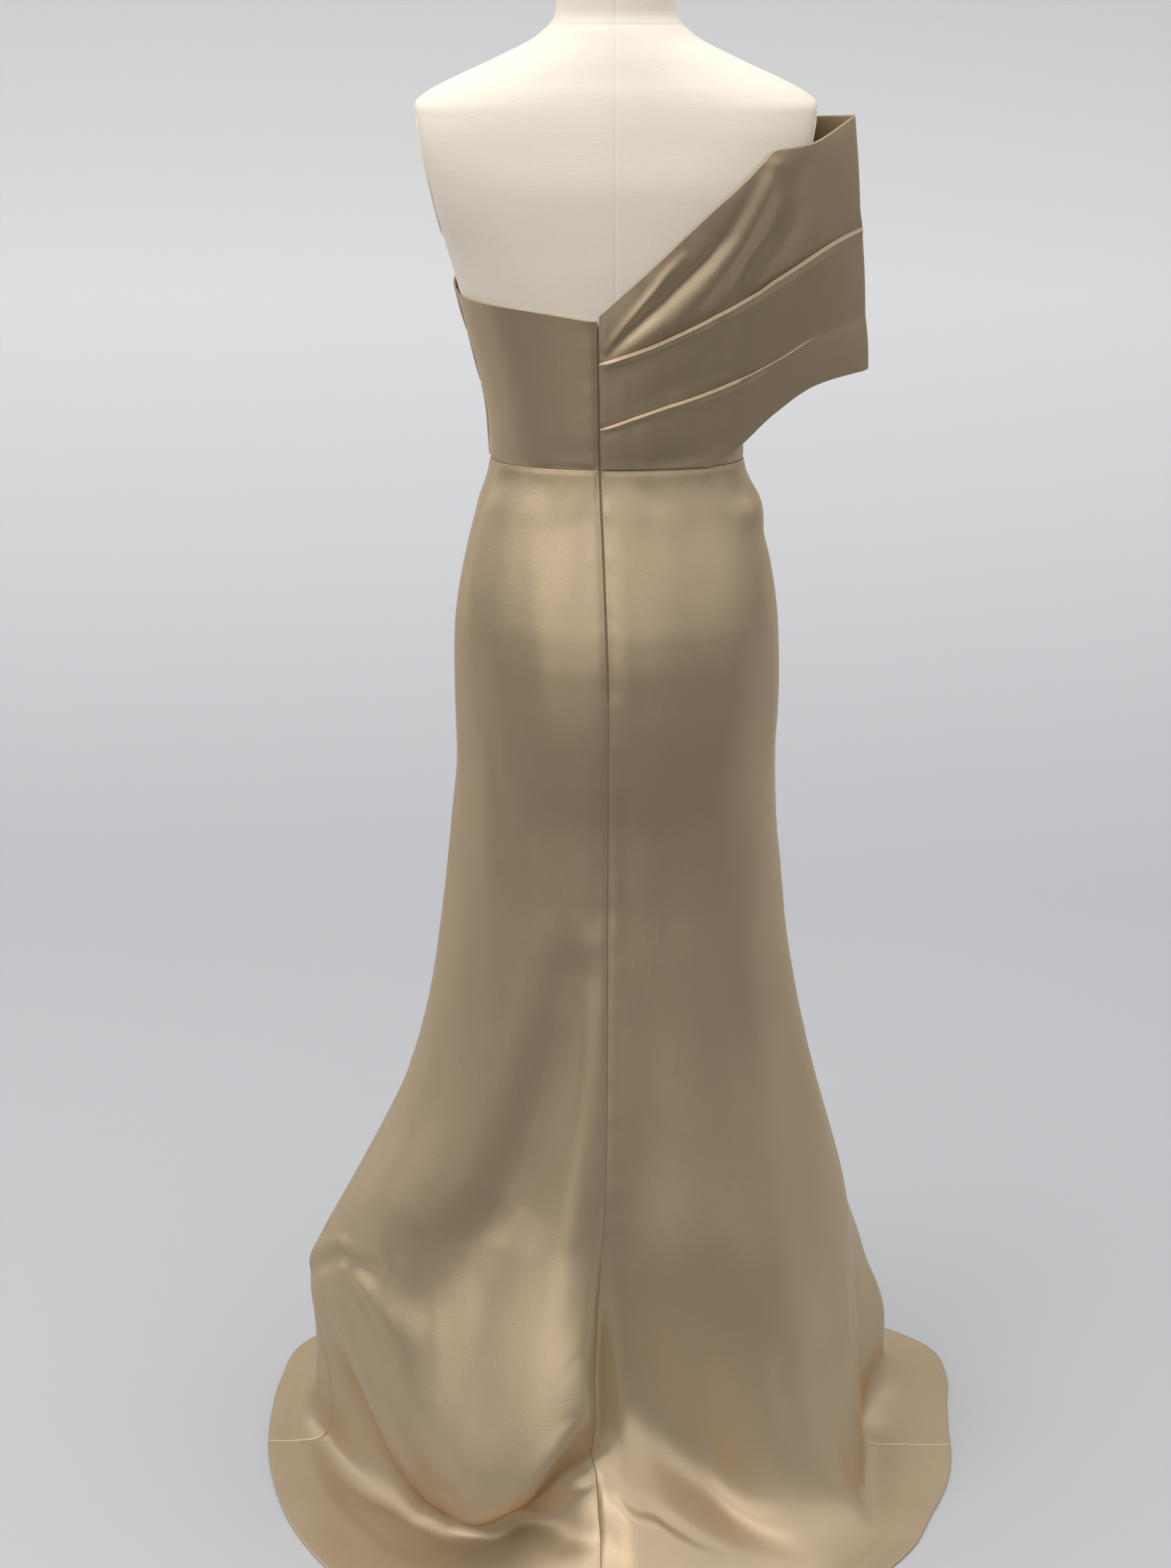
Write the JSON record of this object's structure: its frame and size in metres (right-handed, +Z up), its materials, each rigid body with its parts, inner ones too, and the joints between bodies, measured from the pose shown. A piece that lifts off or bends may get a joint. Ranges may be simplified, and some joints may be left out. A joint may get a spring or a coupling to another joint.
{
  "type": "one-shoulder dress on a dress form",
  "caption": "Floor-length one-shoulder evening dress with a pleated off-arm drape and a pooling hem, standing on a limbless dress form with a round base.",
  "frame": {"origin": "on the floor at the foot of the dress form's pole, the middle of the base plate's underside", "axes": "+Z up; the garment's front faces -Y and its back, with the zip, faces +Y; the drape is on the -X side, the wearer's right"},
  "size_m": [0.7352, 0.7421, 1.5093],
  "materials": {
    "satin": "heavy champagne-brown satin with a soft sheen",
    "zip": "woven tape of an invisible zip",
    "linen": "ivory linen stretched over the form",
    "steel": "brushed stand parts"
  },
  "bodies": {
    "root": {"bodice_back_left": "satin", "bodice_back_right": "satin", "bodice_front": "satin", "drape_back": "satin", "drape_front": "satin", "skirt_back_left": "satin", "skirt_back_right": "satin", "skirt_front": "satin", "zip_strip": "zip", "form_torso": "linen", "armhole_plate_left": "linen", "armhole_plate_right": "linen", "neck_cap": "linen", "pole_collar": "steel", "pole": "steel", "base_plate": "steel"}
  },
  "joints": []
}
